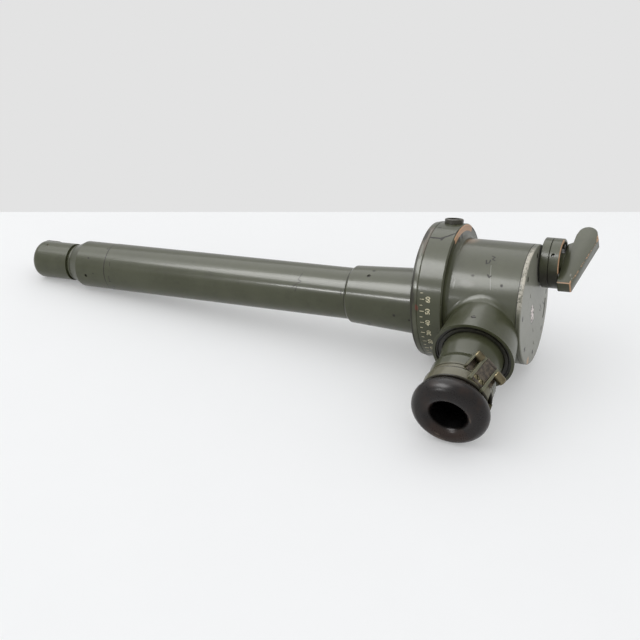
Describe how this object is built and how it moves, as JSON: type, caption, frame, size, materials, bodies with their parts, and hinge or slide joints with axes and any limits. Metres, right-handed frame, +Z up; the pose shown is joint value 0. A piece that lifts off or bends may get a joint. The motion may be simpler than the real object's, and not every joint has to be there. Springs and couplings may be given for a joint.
{
  "type": "periscope",
  "caption": "Straight periscope with a flanged housing, a right-angle eyepiece with a rubber eyecup, an elevation lever on the end and a tilting head prism.",
  "frame": {"origin": "middle of the part's box seen from above, on the table that it lies on", "axes": "+Z up from the table; +X from the head to the end plate, along the tube as seen from above; -Y the way the eyepiece points; the tube rises 5.04 degrees towards +X"},
  "size_m": [0.4323, 0.1708, 0.0959],
  "materials": {
    "paint": "worn satin",
    "plate_paint": "worn satin",
    "dark_paint": "worn satin",
    "steel": "satin",
    "brass": "machined",
    "black_metal": "matt black anodised",
    "rubber": "smooth",
    "seal_rubber": "matt",
    "optical_glass": "polished"
  },
  "bodies": {
    "body": {"housing": "paint", "flange_ring": "paint", "flange_plug": "dark_paint", "front_plate": "paint", "front_plate_screws": "steel", "end_plate": "plate_paint", "end_plate_screws": "steel", "plate_gasket": "seal_rubber", "sleeve": "paint", "sleeve_screws": "dark_paint", "main_tube": "paint", "collar": "paint", "collar_screws": "dark_paint", "head_housing": "paint", "window_frame": "dark_paint", "window_glass": "optical_glass", "window_screws": "steel", "cradle_pins": "steel", "objective_cell": "black_metal", "objective_lens": "optical_glass", "relay_cells": "black_metal", "relay_lenses": "optical_glass", "spacer_tubes": "black_metal", "eye_prism": "optical_glass", "prism_seat": "black_metal", "seal_ring": "seal_rubber", "boss_screw": "dark_paint", "knob_seal": "seal_rubber", "knob_bush": "brass", "rod_bushes": "brass"},
    "index": {"index_ring": "paint"},
    "eyepiece": {"eyepiece_tube": "paint", "field_lens": "optical_glass", "clamp_band": "paint", "band_bracket": "paint", "bracket_block": "dark_paint", "bracket_screws": "steel", "cross_pin": "steel", "rubber_eyecup": "rubber"},
    "focus": {"focus_cell": "black_metal", "eye_lens": "optical_glass"},
    "control": {"knob_base": "paint", "knob_cap": "paint", "knob_setscrew": "steel", "knob_screws": "steel", "lever": "paint", "knob_shaft": "steel", "shaft_nut": "brass", "drive_pinion": "brass"},
    "rod": {"elevation_rod": "steel", "sector_gear": "brass", "rod_crank": "brass"},
    "cradle": {"prism_cradle": "black_metal", "head_prism": "optical_glass"}
  },
  "joints": [
    {"name": "index_turn", "type": "hinge", "parent": "body", "child": "index", "pos_m": [0.1179, 0.03515, 0.04612], "axis": [0.9961, 0, 0.0879], "continuous": true},
    {"name": "dioptre_turn", "type": "hinge", "parent": "body", "child": "eyepiece", "pos_m": [0.16187, -0.04783, 0.03016], "axis": [0.0204, -0.9728, -0.2308], "range_deg": [-30, 30]},
    {"name": "focus_slide", "type": "slide", "parent": "eyepiece", "child": "focus", "axis": [0.0204, -0.9728, -0.2308], "range_m": [-0.0015, 0.0015]},
    {"name": "elevation_turn", "type": "hinge", "parent": "body", "child": "control", "pos_m": [0.19707, 0.05524, 0.07153], "axis": [0.9961, 0, 0.0879], "range_deg": [-40, 40]},
    {"name": "rod_turn", "type": "hinge", "parent": "body", "child": "rod", "pos_m": [0.11778, 0.02812, 0.04749], "axis": [0.9961, 0, 0.0879], "range_deg": [-7.6, 7.6]},
    {"name": "cradle_tilt", "type": "hinge", "parent": "body", "child": "cradle", "pos_m": [-0.19856, 0.02027, 0.01464], "axis": [-0.0855, -0.2317, 0.969], "range_deg": [-3.8, 3.8]}
  ],
  "couplings": [
    {"joint": "focus_slide", "follows": "dioptre_turn", "m_per_rad": 0.002674},
    {"joint": "rod_turn", "follows": "elevation_turn", "ratio": -0.18518},
    {"joint": "cradle_tilt", "follows": "elevation_turn", "ratio": -0.090334}
  ]
}
